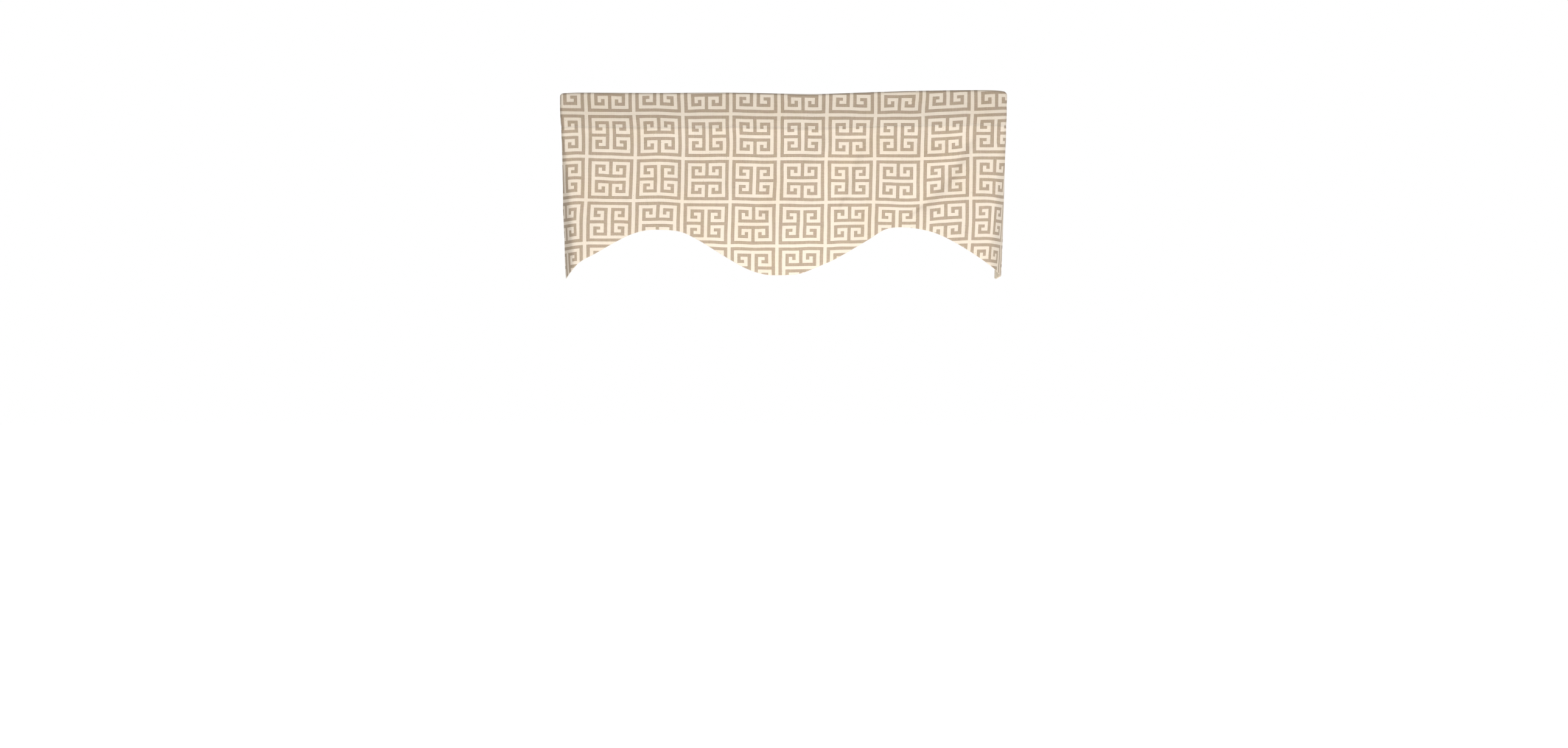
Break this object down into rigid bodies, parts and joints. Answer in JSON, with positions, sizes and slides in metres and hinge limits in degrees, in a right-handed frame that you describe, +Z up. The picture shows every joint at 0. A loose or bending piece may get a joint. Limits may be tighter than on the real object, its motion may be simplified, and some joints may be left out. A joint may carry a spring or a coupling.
{
  "type": "window valance",
  "caption": "Lined cotton window valance with a rod pocket, a return at each end and a hem shaped into two arches round a centre scallop.",
  "frame": {"origin": "middle of the top edge, where the rod holds it, half way through the depth of the rod pocket", "axes": "+X along the window, to the right as seen from the room; +Y towards the wall; +Z up"},
  "size_m": [1.05, 0.1198, 0.4486],
  "materials": {
    "printed_cotton": "plain weave cotton printed with a greyish beige key pattern on cream",
    "plain_lining": "plain weave unbleached cotton, matt"
  },
  "bodies": {
    "root": {"face_panel": "printed_cotton", "lining_panel": "plain_lining"}
  },
  "joints": []
}
